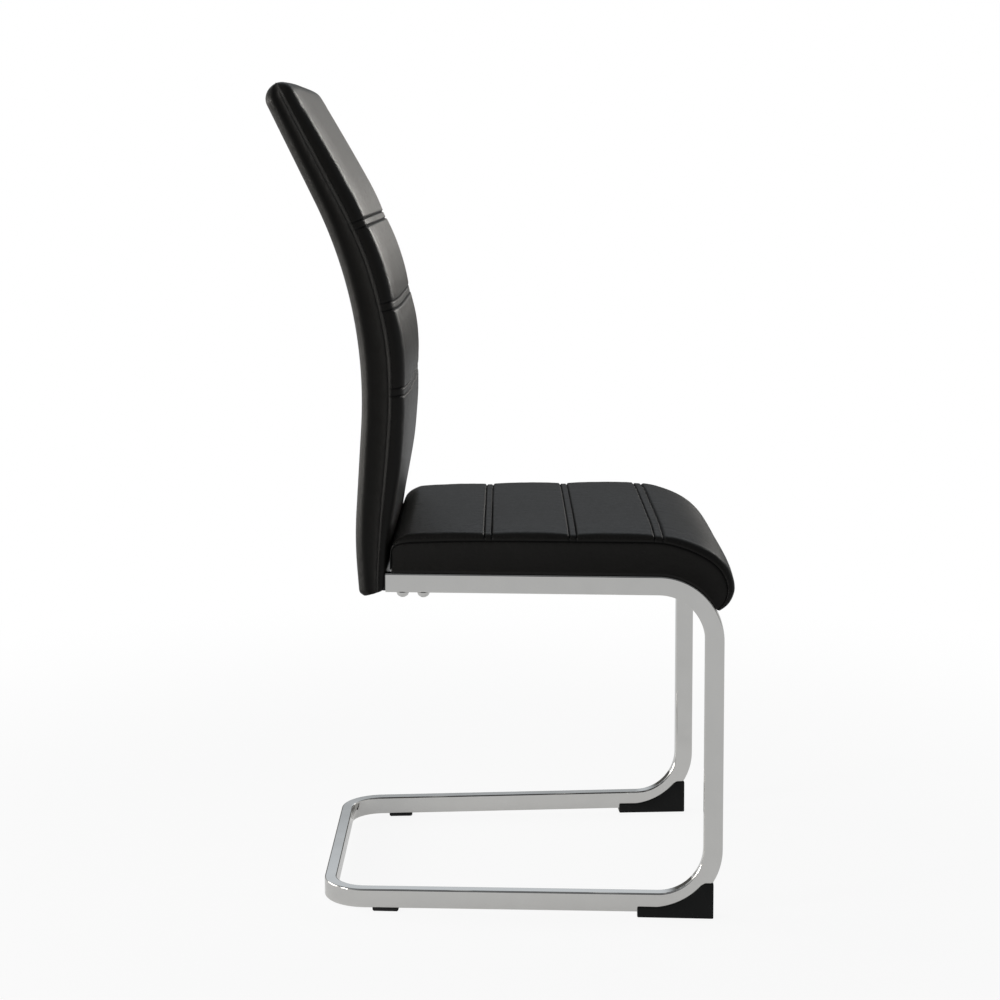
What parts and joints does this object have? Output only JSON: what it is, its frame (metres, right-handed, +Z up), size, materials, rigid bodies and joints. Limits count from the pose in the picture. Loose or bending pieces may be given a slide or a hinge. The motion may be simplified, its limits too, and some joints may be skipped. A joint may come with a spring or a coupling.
{
  "type": "cantilever chair",
  "caption": "High-backed cantilever dining chair: black faux leather seat and curved backrest on a springy frame of chromed rectangular tube with a flat floor loop.",
  "frame": {"origin": "on the floor, under the middle of the chair's outline", "axes": "+X the way the sitter faces, +Y the sitter's left, +Z up"},
  "size_m": [0.5607, 0.4332, 1.0017],
  "materials": {
    "chromed_steel": "bright polished chrome plating",
    "black_leather": "fine grained semi-matt faux leather",
    "piping": "semi-matt faux leather cord",
    "black_plastic": "moulded, satin",
    "black_rubber": "matt",
    "zinc_steel": "zinc plated",
    "black_steel": "black powder coat",
    "foam": "cut polyurethane foam",
    "plywood": "raw birch plywood",
    "dust_cloth": "black non-woven cloth"
  },
  "bodies": {
    "root": {"frame_tube": "chromed_steel", "seat_crossbar_rear": "chromed_steel", "seat_crossbar_front": "chromed_steel", "front_foot_left": "black_plastic", "front_foot_right": "black_plastic", "rear_pad_left": "black_rubber", "rear_pad_right": "black_rubber", "foot_screws": "zinc_steel", "seat_board": "plywood", "seat_dust_cover": "dust_cloth", "seat_foam": "foam", "seat_top_cover": "black_leather", "seat_side_panel_left": "black_leather", "seat_side_panel_right": "black_leather", "seat_piping_left": "piping", "seat_piping_right": "piping", "seat_tee_nuts": "zinc_steel", "seat_bolts": "zinc_steel", "seat_washers": "zinc_steel", "backrest_stub_left": "zinc_steel", "backrest_stub_right": "zinc_steel", "backrest_upright_left": "black_steel", "backrest_upright_right": "black_steel", "backrest_tube_bottom": "black_steel", "backrest_tube_middle": "black_steel", "backrest_tube_top": "black_steel", "backrest_foam": "foam", "backrest_front_cover": "black_leather", "backrest_rear_cover": "black_leather", "backrest_bottom_flap": "black_leather", "clamp_bolts": "chromed_steel", "clamp_washers": "chromed_steel"}
  },
  "joints": []
}
